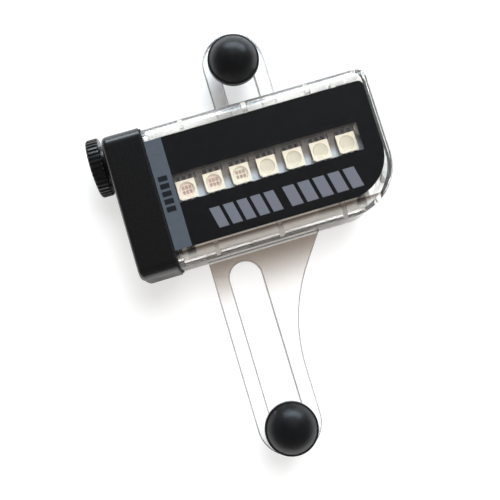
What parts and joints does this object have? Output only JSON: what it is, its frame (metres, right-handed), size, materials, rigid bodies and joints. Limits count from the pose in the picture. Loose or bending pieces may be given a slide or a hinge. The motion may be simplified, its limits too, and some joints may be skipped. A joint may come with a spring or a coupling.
{
  "type": "spoke wheel light",
  "caption": "Clear flat wheel light with a row of lights behind a window, black end cap with a thumbscrew, and two clear arms with hooked spoke clamps under domed knobs.",
  "frame": {"origin": "rear face of the body, where the slotted arm's axis crosses the body's middle line", "axes": "+X along the body away from the end cap, +Y towards the short upper lug, +Z out of the front face"},
  "size_m": [0.0754, 0.1124, 0.02],
  "materials": {
    "clear_shell": "polished clear moulding",
    "black_satin": "satin moulded",
    "label_film": "printed film",
    "black_rubber": "matte",
    "steel": "zinc plated",
    "brass": "turned",
    "board_white": "white solder mask",
    "led_cream": "moulded package",
    "chip_black": "moulded package",
    "cradle_white": "natural moulding",
    "cell_wrap": "plain wrapped cell",
    "nickel": "nickel plated"
  },
  "bodies": {
    "housing": {"front_shell": "clear_shell", "rear_shell": "clear_shell", "threaded_insert": "brass", "front_label": "label_film", "rear_label": "label_film", "cap_gasket": "black_rubber", "front_board": "board_white", "rear_board": "board_white", "front_leds": "led_cream", "rear_leds": "led_cream", "controller_chip": "chip_black", "small_parts": "chip_black", "light_sensor": "led_cream", "motion_sensor": "chip_black", "link_header": "chip_black", "link_pins": "brass", "battery_cradle": "cradle_white", "battery_cells": "cell_wrap", "spring_contacts": "nickel", "plate_contacts": "nickel"},
    "cap": {"end_cap": "black_satin", "thumb_seal": "black_rubber"},
    "thumbscrew": {"thumb_knob": "black_satin", "thumb_screw": "steel", "retaining_ring": "steel"},
    "lower_clamp": {"lower_washer": "steel"},
    "lower_turn": {"lower_knob": "black_satin", "lower_nut": "brass"},
    "lower_hook": {"lower_hook_bolt": "steel"},
    "upper_clamp": {"upper_washer": "steel"},
    "upper_turn": {"upper_knob": "black_satin", "upper_nut": "brass"},
    "upper_hook": {"upper_hook_bolt": "steel"}
  },
  "joints": [
    {"name": "cap_slide", "type": "slide", "parent": "housing", "child": "cap", "axis": [-1, 0, 0], "range_m": [0, 0.015]},
    {"name": "thumbscrew_turn", "type": "hinge", "parent": "cap", "child": "thumbscrew", "pos_m": [-0.0264, 0.0136, 0.01], "axis": [-1, 0, 0], "continuous": true},
    {"name": "lower_clamp_slide", "type": "slide", "parent": "housing", "child": "lower_clamp", "axis": [0, 1, 0], "range_m": [0, 0.0397]},
    {"name": "lower_knob_turn", "type": "hinge", "parent": "lower_clamp", "child": "lower_turn", "pos_m": [0, -0.0656, 0.01], "axis": [0, 0, 1], "range_deg": [0, 720]},
    {"name": "lower_hook_slide", "type": "slide", "parent": "lower_clamp", "child": "lower_hook", "axis": [0, 0, -1], "range_m": [0, 0.0014]},
    {"name": "upper_clamp_slide", "type": "slide", "parent": "housing", "child": "upper_clamp", "axis": [0, -1, 0], "range_m": [0, 0.0052]},
    {"name": "upper_knob_turn", "type": "hinge", "parent": "upper_clamp", "child": "upper_turn", "pos_m": [0.0133, 0.0312, 0.01], "axis": [0, 0, 1], "range_deg": [0, 720]},
    {"name": "upper_hook_slide", "type": "slide", "parent": "upper_clamp", "child": "upper_hook", "axis": [0, 0, -1], "range_m": [0, 0.0014]}
  ],
  "couplings": [
    {"joint": "lower_knob_turn", "follows": "lower_hook_slide", "rad_per_m": 8976},
    {"joint": "upper_knob_turn", "follows": "upper_hook_slide", "rad_per_m": 8976}
  ]
}
